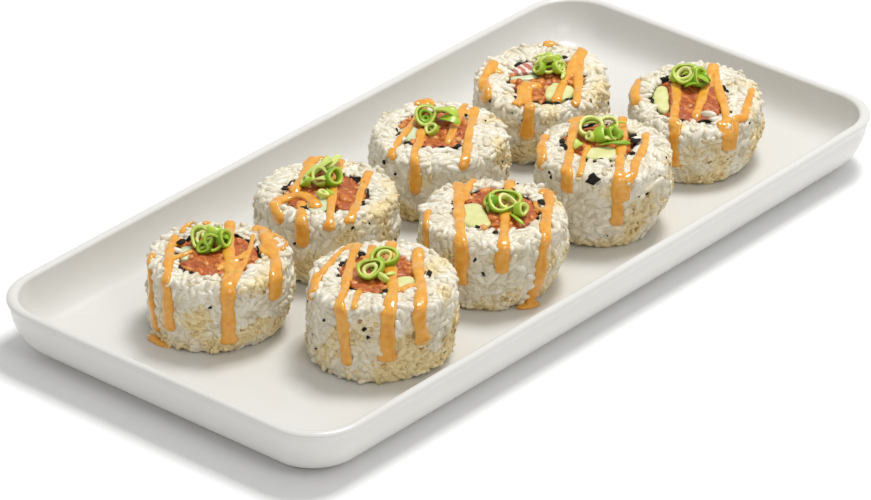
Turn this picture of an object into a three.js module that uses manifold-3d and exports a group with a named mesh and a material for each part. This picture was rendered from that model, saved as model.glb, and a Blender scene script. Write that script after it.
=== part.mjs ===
// Maki roll platter: a long white ceramic plate that carries eight slices cut from one
// maki roll, in two staggered rows. Each slice stands on its cut face. It is a ring of
// rice round a loop of nori. The loop holds chopped tuna with sticks of avocado and
// cucumber, and a small heap of scallion rings lies on top.
// Units are millimetres and +Z is up. The origin is on the table under the plate's
// centre, and +X runs along the plate.

import * as THREE from 'three';
import { mergeVertices } from 'three/addons/utils/BufferGeometryUtils.js';
import Module from 'manifold-3d';

const wasm = await Module();
wasm.setup();

// Plate
const PLATE_LENGTH = 306.6;
const PLATE_WIDTH = 151.4;
const PLATE_HEIGHT = 21.2;
const FLOOR_HEIGHT = 5;
const CORNER_RADIUS = 19;
const CORNER_TIGHTENING = 0.45; // how fast the corner radius shrinks towards the floor
const WALL_RUN = 15.5; // from the outer edge to the flat of the floor
const BEAD_WIDTH = 3.4; // thickness of the rounded lip
const BEAD_HEIGHT = 2.6;
const BEAD_START = 1.12 * Math.PI; // the lip's roundness starts this far round, under its outside
const GROOVE_DEPTH = 0.7; // the line under the lip
const OUTER_TURN = [1.6, 4.5]; // inset and height that the outside bends round
const COVE_LEAN = 2; // the inside leans in by this much before it bends into the floor
const FOOT_INSET = 11.2;
const FOOT_WIDTH = 6;
const FOOT_HEIGHT = 1.5;
const SIDE_BOW = 0.7; // the long sides swell by this much at their middle
const CORNER_STEPS = 6;
const LONG_SIDE_STEPS = 4;
const SHORT_SIDE_STEPS = 2;
const PLATE_CURVE_STEPS = 4;

// What every slice shares
const CUT_ANGLE = -49.4; // turn of each slice's own X axis from the plate's, in degrees
const LOOP_STEPS = 24;
const RICE_EDGE = 3; // radius of the rounded edge of the rice
const RICE_EDGE_STEPS = 2;
const RICE_CROWN_INSET = 5.5; // where the rice's top is highest
const RICE_INNER_DROP = 0.4;
const RICE_TOP_ROUNDING = 0.2;
const RICE_BULGE = 0.9;
const RICE_WAVES = [0.3, 0.25];
const LEAN_RISE = 12; // below this height a slice narrows and leans towards its foot
const LOOP_WAVES = [0.025, 0.015]; // as shares of the loop's half size
const NORI_THICKNESS = 0.6;
const NORI_DROP = 0.3;
const FILLING_EDGE_DROP = 0.7;
const FILLING_DROP = 0.25;
const FILLING_CROWN = 0.72; // size of the crown of the filling against its outline
const GAP = 0.3;
const STICK_CORNER = 0.55; // corner radius against the stick's smaller half size
const STICK_CORNER_STEPS = 2;
const STICK_OVERRUN = 5; // the cutting shape passes both cut faces by this much
const HEAP_STEPS = 14;
const HEAP_LUMPS = 0.06;
const HEAP_LEVELS = [[0.82, 0], [1, 0.28], [0.86, 0.66], [0.5, 1]]; // shares of width and height

// The slices, in their own turned axes. A loop has its centre and its half sizes.
// A stick has its centre, its size, its turn in degrees and how much its far end narrows.
// rise is the slope of the top face along the slice's own Y. foot says how far the bottom
// of the rice is shifted along the slice's own axes and how much narrower it is.
const SLICES = [
  {
    name: 'roll1', at: [-94.2, 21.4], radius: 23.6, height: 26.8, rise: 0.01, uneven: 0.3,
    foot: { shift: [-2.4, 0], narrower: 1.4 },
    loop: { at: [-1, 0], half: [14, 15.2] },
    sticks: [
      { kind: 'cucumber', at: [-12.6, 1.5], size: [6.5, 9.5], turn: -8, taper: 0.1 },
    ],
    scallion: { at: [-3.5, 5.5], size: [13, 11.5], height: 6, turn: 15 },
  },
  {
    name: 'roll2', at: [-35.7, 25.2], radius: 24.1, height: 26, rise: -0.015, uneven: 1.7,
    foot: { shift: [-0.8, 0], narrower: 1.2 },
    loop: { at: [-0.5, -2], half: [14.5, 15] },
    sticks: [
      { kind: 'cucumber', at: [-2.2, -11.5], size: [9.5, 11], turn: 6, taper: 0 },
    ],
    scallion: { at: [-2.5, 5.5], size: [18, 9], height: 5, turn: 42 },
  },
  {
    name: 'roll3', at: [22.7, 25], radius: 24.0, height: 25, rise: 0, uneven: 3.1,
    foot: { shift: [-0.8, 0], narrower: 1.2 },
    loop: { at: [-1.5, 1.5], half: [13, 14.2] },
    sticks: [
      { kind: 'cucumber', at: [-10.6, -1.5], size: [8.5, 10], turn: 12, taper: 0.15 },
    ],
    scallion: { at: [-2, 4.5], size: [16, 9.5], height: 5.5, turn: -12 },
  },
  {
    name: 'roll4', at: [78.4, 24.4], radius: 23.8, height: 24.6, rise: 0.09, uneven: 4.4,
    foot: { shift: [-0.8, 0], narrower: 1.2 },
    loop: { at: [1.8, -1.8], half: [13.8, 14.8] },
    sticks: [
      { kind: 'fish', at: [-7.4, 6.4], size: [9.8, 8.8], turn: 6, taper: 0 },
      { kind: 'cucumber', at: [-7, -0.4], size: [11, 3.6], turn: 6, taper: 0 },
      { kind: 'avocado', at: [6, -10], size: [11, 11], turn: -6, taper: 0.1 },
    ],
    scallion: { at: [2.6, 2.6], size: [12.5, 12], height: 6.5, turn: 0 },
  },
  {
    name: 'roll5', at: [-72.5, -31.6], radius: 24.4, height: 29, rise: 0.01, uneven: 5.6,
    foot: { shift: [-1.2, 0], narrower: 0.8 },
    loop: { at: [-0.5, 1.5], half: [14.6, 13.2] },
    sticks: [
      { kind: 'avocado', at: [7, -5.6], size: [10, 9.5], turn: 15, taper: 0.1 },
    ],
    scallion: { at: [-1.6, 1.4], size: [11.5, 15], height: 5, turn: -28 },
  },
  {
    name: 'roll6', at: [-12.3, -29.1], radius: 24.6, height: 27, rise: 0, uneven: 0.9,
    foot: { shift: [-2.8, 0], narrower: 2.4 },
    loop: { at: [0.8, 1.2], half: [14.8, 15] },
    sticks: [
      { kind: 'avocado', at: [-7.6, -3], size: [12.5, 17], turn: 10, taper: 0.2 },
    ],
    scallion: { at: [4.6, -0.5], size: [17, 11], height: 5, turn: -20 },
  },
  {
    name: 'roll7', at: [44.2, -31.3], radius: 23.2, height: 29.8, rise: 0.03, uneven: 2.3,
    foot: { shift: [-3.0, 0], narrower: 2.4 },
    loop: { at: [-1.6, 3], half: [12.4, 12.8] },
    sticks: [
      { kind: 'avocado', at: [-0.4, -5.2], size: [13.5, 10], turn: 4, taper: 0.1 },
      { kind: 'cucumber', at: [-11, 2.4], size: [6, 6.5], turn: 0, taper: 0 },
    ],
    scallion: { at: [-1.4, 6.2], size: [16.5, 12], height: 5, turn: 0 },
  },
  {
    name: 'roll8', at: [102.6, -26.2], radius: 23.4, height: 24.4, rise: 0.1, uneven: 3.8,
    foot: { shift: [-1.2, 0], narrower: 1.8 },
    loop: { at: [-2.5, -1], half: [13.8, 15.4] },
    sticks: [
      { kind: 'avocado', at: [-12.9, -1], size: [9, 17], turn: -8, taper: 0.6 },
    ],
    scallion: { at: [-1.6, 7], size: [14, 10], height: 6, turn: -10 },
  },
];

const LOOKS = {
  plate: { color: 0xf3f2ee, roughness: 0.18 },
  rice: { color: 0xe9e6df, roughness: 0.5 },
  nori: { color: 0x15170f, roughness: 0.6 },
  tuna: { color: 0xb9472c, roughness: 0.35 },
  fish: { color: 0xc98272, roughness: 0.4 },
  avocado: { color: 0xc9cf72, roughness: 0.45 },
  cucumber: { color: 0xb9cf9c, roughness: 0.3 },
  scallion: { color: 0x6d9a1e, roughness: 0.4 },
};

// ---------------------------------------------------------------- mesh helpers

// Joins rings of equal length into a closed body. Each ring runs anticlockwise seen from
// above, and the rings run over the surface from the underside out, up and back in.
// A hollow body closes on its first ring. Otherwise both ends get a cap.
function loft(rings, hollow) {
  const count = rings[0].length;
  const positions = rings.flat();
  const faces = [];
  const last = hollow ? rings.length : rings.length - 1;
  for (let i = 0; i < last; i += 1) {
    const low = i * count;
    const high = ((i + 1) % rings.length) * count;
    for (let j = 0; j < count; j += 1) {
      const next = (j + 1) % count;
      faces.push(low + j, low + next, high + next);
      faces.push(low + j, high + next, high + j);
    }
  }
  if (!hollow) {
    const first = addCentre(positions, rings[0]);
    const end = addCentre(positions, rings[rings.length - 1]);
    const top = (rings.length - 1) * count;
    for (let j = 0; j < count; j += 1) {
      const next = (j + 1) % count;
      faces.push(first, next, j);
      faces.push(end, top + j, top + next);
    }
  }
  const geometry = new THREE.BufferGeometry();
  geometry.setAttribute('position', new THREE.Float32BufferAttribute(positions.flat(), 3));
  geometry.setIndex(faces);
  return geometry;
}

function addCentre(positions, ring) {
  const sum = [0, 0, 0];
  for (const point of ring) {
    for (let k = 0; k < 3; k += 1) {
      sum[k] += point[k] / ring.length;
    }
  }
  positions.push(sum);
  return positions.length - 1;
}

function toSolid(geometry) {
  const plain = geometry.clone();
  plain.deleteAttribute('normal');
  plain.deleteAttribute('uv');
  const merged = mergeVertices(plain);
  const vertProperties = new Float32Array(merged.attributes.position.array);
  const triVerts = new Uint32Array(merged.index.array);
  return new wasm.Manifold(new wasm.Mesh({ numProp: 3, vertProperties, triVerts }));
}

function toGeometry(solid) {
  const mesh = solid.getMesh();
  const geometry = new THREE.BufferGeometry();
  geometry.setAttribute('position', new THREE.Float32BufferAttribute(mesh.vertProperties, 3));
  geometry.setIndex(Array.from(mesh.triVerts));
  return geometry;
}

function namedMesh(name, look, geometry) {
  geometry.computeVertexNormals();
  const { color, roughness } = LOOKS[look];
  const material = new THREE.MeshStandardMaterial({ color, roughness, metalness: 0 });
  const mesh = new THREE.Mesh(geometry, material);
  mesh.name = name;
  return mesh;
}

// ---------------------------------------------------------------- plate

// The wall's section as inset from the outer edge and height, from the recess under the
// plate round the foot, up the outside, over the lip and down the cove to the floor.
function plateSection() {
  const footEnd = FOOT_INSET + FOOT_WIDTH;
  const beadX = BEAD_WIDTH / 2;
  const beadY = PLATE_HEIGHT - BEAD_HEIGHT / 2;
  const section = new THREE.Path();
  section.moveTo(footEnd + FOOT_HEIGHT, FOOT_HEIGHT);
  section.lineTo(footEnd, 0);
  section.lineTo(FOOT_INSET, 0);
  section.lineTo(FOOT_INSET - FOOT_HEIGHT / 2, FOOT_HEIGHT);
  section.quadraticCurveTo(...OUTER_TURN, GROOVE_DEPTH, PLATE_HEIGHT - BEAD_HEIGHT);
  section.absellipse(beadX, beadY, beadX, BEAD_HEIGHT / 2, BEAD_START, 0, true);
  section.quadraticCurveTo(BEAD_WIDTH + COVE_LEAN, FLOOR_HEIGHT, WALL_RUN, FLOOR_HEIGHT);
  return section.getPoints(PLATE_CURVE_STEPS);
}

// One ring round the plate: four corner arcs with stepped straight sides between them.
function plateRing(inset, height) {
  const halfX = PLATE_LENGTH / 2 - SIDE_BOW / 2 - inset;
  const halfY = PLATE_WIDTH / 2 - SIDE_BOW - inset;
  const radius = CORNER_RADIUS - CORNER_TIGHTENING * inset;
  const corners = [[1, 1], [-1, 1], [-1, -1], [1, -1]];
  const ring = [];
  corners.forEach(([sideX, sideY], index) => {
    const centreX = sideX * (halfX - radius);
    const centreY = sideY * (halfY - radius);
    for (let step = 0; step <= CORNER_STEPS; step += 1) {
      const angle = (index + step / CORNER_STEPS) * Math.PI / 2;
      ring.push([centreX + radius * Math.cos(angle), centreY + radius * Math.sin(angle)]);
    }
    const [nextX, nextY] = corners[(index + 1) % 4];
    const acrossX = sideX !== nextX;
    const steps = acrossX ? LONG_SIDE_STEPS : SHORT_SIDE_STEPS;
    const start = ring[ring.length - 1];
    const endX = acrossX ? nextX * (halfX - radius) : sideX * halfX;
    const endY = acrossX ? sideY * halfY : nextY * (halfY - radius);
    for (let step = 1; step < steps; step += 1) {
      const along = step / steps;
      ring.push([start[0] + (endX - start[0]) * along, start[1] + (endY - start[1]) * along]);
    }
  });
  return ring.map(([x, y]) => bowed(x, y, height));
}

// Swells the sides a little, as a hand-finished plate does.
function bowed(x, y, height) {
  const alongX = 2 * x / PLATE_LENGTH;
  const alongY = 2 * y / PLATE_WIDTH;
  const swellY = SIDE_BOW * alongY * (1 - alongX * alongX);
  const swellX = SIDE_BOW / 2 * alongX * (1 - alongY * alongY);
  return [x + swellX, y + swellY, height];
}

function plate() {
  const rings = plateSection().map((point) => plateRing(point.x, point.y));
  return namedMesh('plate', 'plate', loft(rings, false));
}

// ---------------------------------------------------------------- slices

// Outline of the nori loop, moved outwards by grow.
function loopOutline(slice, grow) {
  const { at, half } = slice.loop;
  const outline = [];
  for (let i = 0; i < LOOP_STEPS; i += 1) {
    const angle = i / LOOP_STEPS * 2 * Math.PI;
    const slow = LOOP_WAVES[0] * Math.cos(3 * angle + slice.uneven);
    const swell = 1 + slow + LOOP_WAVES[1] * Math.sin(5 * angle);
    const x = at[0] + (half[0] * swell + grow) * Math.cos(angle);
    const y = at[1] + (half[1] * swell + grow) * Math.sin(angle);
    outline.push([x, y]);
  }
  return outline;
}

// Outer outline of the rice at a height, moved inwards by inset.
function riceOutline(slice, inset, height) {
  const outline = [];
  const { shift, narrower } = slice.foot;
  const lean = Math.max(0, 1 - height / LEAN_RISE);
  for (let i = 0; i < LOOP_STEPS; i += 1) {
    const angle = i / LOOP_STEPS * 2 * Math.PI;
    const oval = RICE_WAVES[0] * Math.cos(2 * angle + slice.uneven);
    const lobes = RICE_WAVES[1] * Math.cos(3 * angle - 2 * slice.uneven);
    const radius = slice.radius + oval + lobes - inset - narrower * lean;
    const x = radius * Math.cos(angle) + shift[0] * lean;
    const y = radius * Math.sin(angle) + shift[1] * lean;
    outline.push([x, y]);
  }
  return outline;
}

// Lifts an outline to a height and slopes it with the slice's top face.
function lifted(slice, outline, height) {
  const share = height / slice.height;
  return outline.map(([x, y]) => [x, y, height + slice.rise * y * share]);
}

function rice(slice) {
  const top = slice.height;
  const side = new THREE.Path();
  side.moveTo(RICE_EDGE, 0);
  side.quadraticCurveTo(0, 0, 0, RICE_EDGE);
  side.lineTo(-RICE_BULGE, top / 2);
  side.lineTo(0, top - RICE_EDGE);
  side.quadraticCurveTo(0, top - RICE_TOP_ROUNDING, RICE_EDGE, top - RICE_TOP_ROUNDING);
  side.lineTo(RICE_CROWN_INSET, top);
  const rings = side.getPoints(RICE_EDGE_STEPS).map((point) => {
    return lifted(slice, riceOutline(slice, point.x, point.y), point.y);
  });
  const inner = loopOutline(slice, NORI_THICKNESS / 2 + GAP);
  rings.push(lifted(slice, inner, top - RICE_INNER_DROP));
  rings.unshift(lifted(slice, inner, 0));
  return loft(rings, true);
}

function nori(slice) {
  const outer = loopOutline(slice, NORI_THICKNESS / 2);
  const inner = loopOutline(slice, -NORI_THICKNESS / 2);
  const top = slice.height - NORI_DROP;
  const rings = [
    lifted(slice, inner, 0),
    lifted(slice, outer, 0),
    lifted(slice, outer, top),
    lifted(slice, inner, top),
  ];
  return loft(rings, true);
}

// Everything inside the nori, as one crowned body that the fillings share out.
function fillingSpace(slice) {
  const outline = loopOutline(slice, -NORI_THICKNESS / 2 - GAP);
  const [centreX, centreY] = slice.loop.at;
  const crown = outline.map(([x, y]) => [
    centreX + (x - centreX) * FILLING_CROWN,
    centreY + (y - centreY) * FILLING_CROWN,
  ]);
  const rings = [
    lifted(slice, outline, 0),
    lifted(slice, outline, slice.height - FILLING_EDGE_DROP),
    lifted(slice, crown, slice.height - FILLING_DROP),
  ];
  return toSolid(loft(rings, false));
}

// A stick that stands through the slice, grown on every side by grow.
function stick(slice, spec, grow) {
  const halfX = spec.size[0] / 2 + grow;
  const halfY = spec.size[1] / 2 + grow;
  const radius = Math.min(halfX, halfY) * STICK_CORNER;
  const shape = new THREE.Shape();
  shape.absarc(halfX - radius, halfY - radius, radius, 0, Math.PI / 2);
  shape.absarc(radius - halfX, halfY - radius, radius, Math.PI / 2, Math.PI);
  shape.absarc(radius - halfX, radius - halfY, radius, Math.PI, 1.5 * Math.PI);
  shape.absarc(halfX - radius, radius - halfY, radius, 1.5 * Math.PI, 2 * Math.PI);
  const turn = THREE.MathUtils.degToRad(spec.turn);
  const outline = shape.getPoints(STICK_CORNER_STEPS).map((point) => {
    const x = point.x * (1 - spec.taper * (point.y / halfY + 1) / 2);
    const turnedX = x * Math.cos(turn) - point.y * Math.sin(turn);
    const turnedY = x * Math.sin(turn) + point.y * Math.cos(turn);
    return [spec.at[0] + turnedX, spec.at[1] + turnedY];
  });
  outline.pop();
  const low = outline.map(([x, y]) => [x, y, -STICK_OVERRUN]);
  const high = outline.map(([x, y]) => [x, y, slice.height + STICK_OVERRUN]);
  return toSolid(loft([low, high], false));
}

// The sticks are cut out of the filling space in turn, and the tuna fills what is left.
function fillings(slice) {
  const meshes = [];
  let rest = fillingSpace(slice);
  for (const spec of slice.sticks) {
    const piece = rest.intersect(stick(slice, spec, 0));
    meshes.push(namedMesh(`${slice.name}_${spec.kind}`, spec.kind, toGeometry(piece)));
    rest = rest.subtract(stick(slice, spec, GAP));
  }
  meshes.push(namedMesh(`${slice.name}_tuna`, 'tuna', toGeometry(rest)));
  return meshes;
}

// A low lumpy heap. Each ring of it has a share of the full width and of the height.
function scallion(slice) {
  const { at, size, height, turn } = slice.scallion;
  const start = THREE.MathUtils.degToRad(turn);
  const base = slice.height + GAP;
  const rings = HEAP_LEVELS.map(([width, share]) => {
    const ring = [];
    for (let i = 0; i < HEAP_STEPS; i += 1) {
      const angle = i / HEAP_STEPS * 2 * Math.PI;
      const lump = 1 + HEAP_LUMPS * Math.sin(3 * angle + slice.uneven + 2 * share);
      const x = size[0] / 2 * width * lump * Math.cos(angle);
      const y = size[1] / 2 * width * lump * Math.sin(angle);
      const turnedX = at[0] + x * Math.cos(start) - y * Math.sin(start);
      const turnedY = at[1] + x * Math.sin(start) + y * Math.cos(start);
      ring.push([turnedX, turnedY, base + height * share + slice.rise * turnedY]);
    }
    return ring;
  });
  return loft(rings, false);
}

function sliceGroup(slice) {
  const group = new THREE.Group();
  group.position.set(slice.at[0], slice.at[1], FLOOR_HEIGHT);
  group.rotation.z = THREE.MathUtils.degToRad(CUT_ANGLE);
  group.add(namedMesh(`${slice.name}_rice`, 'rice', rice(slice)));
  group.add(namedMesh(`${slice.name}_nori`, 'nori', nori(slice)));
  group.add(...fillings(slice));
  group.add(namedMesh(`${slice.name}_scallion`, 'scallion', scallion(slice)));
  return group;
}

const platter = new THREE.Group();
platter.add(plate());
for (const slice of SLICES) {
  platter.add(sliceGroup(slice));
}

export default platter;
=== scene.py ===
import math
import random

import bpy
import numpy as np
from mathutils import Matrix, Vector, noise
from mathutils.bvhtree import BVHTree


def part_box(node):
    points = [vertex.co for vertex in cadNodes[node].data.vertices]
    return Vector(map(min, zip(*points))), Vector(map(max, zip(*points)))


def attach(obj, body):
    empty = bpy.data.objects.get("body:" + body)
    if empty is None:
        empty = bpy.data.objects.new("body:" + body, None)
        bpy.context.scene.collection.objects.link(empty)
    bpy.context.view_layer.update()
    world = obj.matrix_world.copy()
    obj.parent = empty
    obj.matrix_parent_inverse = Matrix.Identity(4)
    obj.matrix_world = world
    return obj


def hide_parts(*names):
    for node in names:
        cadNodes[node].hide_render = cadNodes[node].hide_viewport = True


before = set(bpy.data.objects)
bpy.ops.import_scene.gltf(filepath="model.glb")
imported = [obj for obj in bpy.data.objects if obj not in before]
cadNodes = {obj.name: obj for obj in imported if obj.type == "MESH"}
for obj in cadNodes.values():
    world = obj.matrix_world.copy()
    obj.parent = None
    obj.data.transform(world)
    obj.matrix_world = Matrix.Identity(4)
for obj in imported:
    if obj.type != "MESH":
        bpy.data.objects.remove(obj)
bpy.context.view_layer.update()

# Maki platter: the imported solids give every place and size, this file gives the looks.
# All lengths in the dictionaries are millimetres unless a note says otherwise.
mm = 0.001
cutTurn = math.radians(-49.4)  # the slices' own X axis, measured from the plate's
acrossAxis = Vector((math.cos(cutTurn), math.sin(cutTurn), 0))
alongAxis = Vector((-math.sin(cutTurn), math.cos(cutTurn), 0))
upAxis = Vector((0, 0, 1))
sliceNames = sorted({name.split("_")[0] for name in cadNodes if name.startswith("roll")})
plateFloor = min(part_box(name + "_rice")[0].z for name in sliceNames)


# Small helpers for meshes.

def makePiece(name, verts, faces, material, smooth=True):
    mesh = bpy.data.meshes.new(name)
    mesh.from_pydata([tuple(v) for v in verts], [], [tuple(f) for f in faces])
    mesh.update()
    mesh.materials.append(material)
    mesh.polygons.foreach_set("use_smooth", [smooth] * len(mesh.polygons))
    piece = bpy.data.objects.new(name, mesh)
    bpy.context.scene.collection.objects.link(piece)
    return piece


def setTone(piece, name, values):  # one number for each point, read by the materials
    layer = piece.data.attributes.new(name, "FLOAT", "POINT")
    layer.data.foreach_set("value", np.asarray(values, np.float32))


def applyModifiers(piece):
    graph = bpy.context.evaluated_depsgraph_get()
    mesh = bpy.data.meshes.new_from_object(piece.evaluated_get(graph))
    piece.modifiers.clear()
    old = piece.data
    piece.data = mesh
    mesh.name = old.name
    bpy.data.meshes.remove(old)
    mesh.polygons.foreach_set("use_smooth", [True] * len(mesh.polygons))


def remeshed(piece, voxel, smoothing):
    melt = piece.modifiers.new("melt", "REMESH")
    melt.mode = "VOXEL"
    melt.voxel_size = voxel * mm
    if smoothing:
        soften = piece.modifiers.new("soften", "SMOOTH")
        soften.factor = 0.5
        soften.iterations = smoothing
    applyModifiers(piece)


def pointsOf(piece):
    coords = np.empty(len(piece.data.vertices) * 3, np.float32)
    piece.data.vertices.foreach_get("co", coords)
    return coords.reshape(-1, 3).astype(float)


def normalsOf(piece):
    coords = np.empty(len(piece.data.vertices) * 3, np.float32)
    piece.data.vertices.foreach_get("normal", coords)
    return coords.reshape(-1, 3).astype(float)


def liftOffFloor(points, gap=0.02):  # nothing dips into the plate
    points[:, 2] = np.maximum(points[:, 2], plateFloor + gap * mm)


def setPoints(piece, points):
    piece.data.vertices.foreach_set("co", np.asarray(points, np.float32).ravel())
    piece.data.update()


class Heap:  # gathers many small shapes into one mesh
    def __init__(self):
        self.verts, self.faces, self.tones, self.count = [], [], [], 0

    def add(self, verts, faces, tone=0.0):
        self.verts.append(np.asarray(verts, float))
        self.faces.extend(tuple(i + self.count for i in face) for face in faces)
        self.tones.append(np.full(len(verts), tone, float) if np.isscalar(tone) else np.asarray(tone))
        self.count += len(verts)

    def piece(self, name, material, slot):
        made = makePiece(name, np.vstack(self.verts), self.faces, material)
        setTone(made, "tone", np.concatenate(self.tones))
        return made


def gridFaces(rows, columns, closedRows=False):  # quads of a sheet that closes round its columns
    faces = []
    for i in range(rows if closedRows else rows - 1):
        for j in range(columns):
            k = (j + 1) % columns
            up = ((i + 1) % rows) * columns
            faces.append((i * columns + j, i * columns + k, up + k, up + j))
    return faces


def podFaces(rows, around):  # a closed body of rings between a first and a last point
    faces = [(0, 1 + (j + 1) % around, 1 + j) for j in range(around)]
    faces += [tuple(i + 1 for i in face) for face in gridFaces(rows, around)]
    end, first = rows * around + 1, (rows - 1) * around + 1
    return faces + [(end, first + j, first + (j + 1) % around) for j in range(around)]


def smoothLine(points, steps):  # Catmull-Rom line through given points
    points = [np.asarray(p, float) for p in points]
    padded = [2 * points[0] - points[1]] + points + [2 * points[-1] - points[-2]]
    line = []
    for i in range(1, len(padded) - 2):
        a, b, c, d = padded[i - 1:i + 3]
        for s in range(steps):
            t = s / steps
            line.append(0.5 * (2 * b + (c - a) * t + (2 * a - 5 * b + 4 * c - d) * t * t
                               + (3 * b - a - 3 * c + d) * t ** 3))
    line.append(points[-1])
    return line


def evenLine(line, step):  # the same line with points an even step apart
    line = np.asarray(line)
    lengths = np.r_[0, np.cumsum(np.linalg.norm(np.diff(line, axis=0), axis=1))]
    count = max(4, int(lengths[-1] / step) + 1)
    marks = np.linspace(0, lengths[-1], count)
    return np.column_stack([np.interp(marks, lengths, line[:, k]) for k in range(line.shape[1])])


def shadeNear(rng, middle, spread):  # a tone from 0 to 1
    return min(1, max(0, rng.gauss(middle, spread)))


def ripple(point, size, seed=0.0):  # smooth noise, about -1 to 1, for a point in metres
    p = Vector(point) / (size * mm)
    return noise.noise(p + Vector((seed * 7.3, seed * 3.1, seed * 5.7)))


# Materials.

class Look:  # a material with one Principled shader and short calls for its nodes
    def __init__(self, name, **values):
        self.material = bpy.data.materials.new(name)
        self.material.use_nodes = True
        self.tree = self.material.node_tree
        self.shader = self.tree.nodes["Principled BSDF"]
        for socket, value in values.items():
            self.shader.inputs[socket.replace("_", " ")].default_value = value

    def node(self, kind, inputs=None, **values):
        made = self.tree.nodes.new("ShaderNode" + kind)
        for key, value in values.items():
            setattr(made, key, value)
        for socket, value in (inputs or {}).items():
            if isinstance(value, bpy.types.NodeSocket):
                self.tree.links.new(value, made.inputs[socket])
            else:
                made.inputs[socket].default_value = value
        return made

    def place(self):
        return self.node("TexCoord").outputs["Object"]

    def noise(self, size, detail=3.0, roughness=0.5, distortion=0.0):  # size in millimetres
        made = self.node("TexNoise", {"Vector": self.place(), "Scale": 1 / (size * mm), "Detail": detail,
                                      "Roughness": roughness, "Distortion": distortion})
        return made.outputs["Fac"]

    def cells(self, size, feature="F1"):
        made = self.node("TexVoronoi", {"Vector": self.place(), "Scale": 1 / (size * mm)}, feature=feature)
        return made.outputs["Distance"]

    def tone(self, name="tone"):
        return self.node("Attribute", attribute_name=name).outputs["Fac"]

    def ramp(self, value, stops):
        made = self.node("ValToRGB", {"Fac": value})
        elements = made.color_ramp.elements
        while len(elements) < len(stops):
            elements.new(0.5)
        for element, (position, color) in zip(elements, stops):
            element.position = position
            element.color = (*color, 1)
        return made.outputs["Color"]

    def mix(self, amount, first, second, blend="MIX"):
        made = self.node("Mix", data_type="RGBA", blend_type=blend)
        for socket, value in (("Factor", amount), ("A", first), ("B", second)):
            target = [i for i in made.inputs if i.name == socket and i.enabled][0]
            if isinstance(value, bpy.types.NodeSocket):
                self.tree.links.new(value, target)
            else:
                target.default_value = value if np.isscalar(value) else (*value, 1)
        return [o for o in made.outputs if o.enabled][0]

    def spread(self, value, low, high):  # turns 0 to 1 into low to high
        made = self.node("MapRange", {"Value": value, "To Min": low, "To Max": high})
        return made.outputs["Result"]

    def finish(self, shine, bump):  # noise sizes with their range, and with depth and strength
        size, detail, low, high = shine
        self.connect("Roughness", self.spread(self.noise(size, detail), low, high))
        size, detail, depth, strength = bump
        self.connect("Normal", self.bump(self.noise(size, detail), depth, strength))
        return self.material

    def connect(self, socket, value):
        self.tree.links.new(value, self.shader.inputs[socket])

    def bump(self, height, depth, strength=1.0, under=None):  # depth in millimetres
        inputs = {"Height": height, "Distance": depth * mm, "Strength": strength}
        if under is not None:
            inputs["Normal"] = under
        return self.node("Bump", inputs).outputs["Normal"]


def plateLook():
    look = Look("glazedPorcelain", Roughness=0.22, IOR=1.48, Specular_IOR_Level=0.4)
    cloud = look.noise(38, 3)
    look.connect("Base Color", look.ramp(cloud, [(0.3, (0.70, 0.69, 0.655)), (0.7, (0.72, 0.712, 0.68))]))
    look.connect("Roughness", look.spread(look.noise(9, 4), 0.17, 0.28))
    waves = look.bump(look.noise(24, 2), 0.35, 0.5)
    look.connect("Normal", look.bump(look.noise(2.2, 2), 0.02, 0.4, waves))
    return look.material


def riceLook():
    look = Look("cookedRice", Roughness=0.38, IOR=1.42, Subsurface_Weight=0.12, Subsurface_Scale=0.0005,
                Coat_Weight=0.2, Coat_Roughness=0.18)
    look.shader.inputs["Subsurface Radius"].default_value = (1.0, 0.85, 0.68)
    grain = look.ramp(look.tone(), [(0.0, (0.64, 0.56, 0.41)), (0.4, (0.79, 0.725, 0.575)),
                                    (1.0, (0.88, 0.84, 0.72))])
    wet = look.ramp(look.noise(4.5, 3, 0.6), [(0.36, (0.80, 0.77, 0.70)), (0.55, (1, 1, 1))])
    grain = look.mix(0.75, grain, wet, "MULTIPLY")
    flecks = look.ramp(look.noise(1.5, 2, 0.5), [(0.60, (0, 0, 0)), (0.70, (0.55, 0.55, 0.55))])
    grain = look.mix(flecks, grain, (0.78, 0.66, 0.36))
    # Sesame dust, also used as painted warm shade: its mask is heaviest low on the sides.
    dustAndWarmShade = look.mix(look.spread(look.cells(1.5), 0.0, 1.0), (0.92, 0.76, 0.38), (0.74, 0.53, 0.20))
    coatAndShadeMask = look.ramp(look.tone("coat"), [(0.0, (0, 0, 0)), (0.5, (0.75, 0.75, 0.75))])
    look.connect("Base Color", look.mix(coatAndShadeMask, grain, dustAndWarmShade))
    return look.finish((1.6, 3, 0.26, 0.52), (0.7, 3, 0.06, 0.5))


def noriLook():
    look = Look("toastedNori", Roughness=0.6, IOR=1.4, Specular_IOR_Level=0.25)
    look.connect("Base Color", look.ramp(look.noise(1.2, 4), [(0.3, (0.005, 0.004, 0.003)),
                                                              (0.75, (0.026, 0.020, 0.012))]))
    return look.finish((0.6, 3, 0.45, 0.8), (0.5, 4, 0.12, 0.7))


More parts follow.
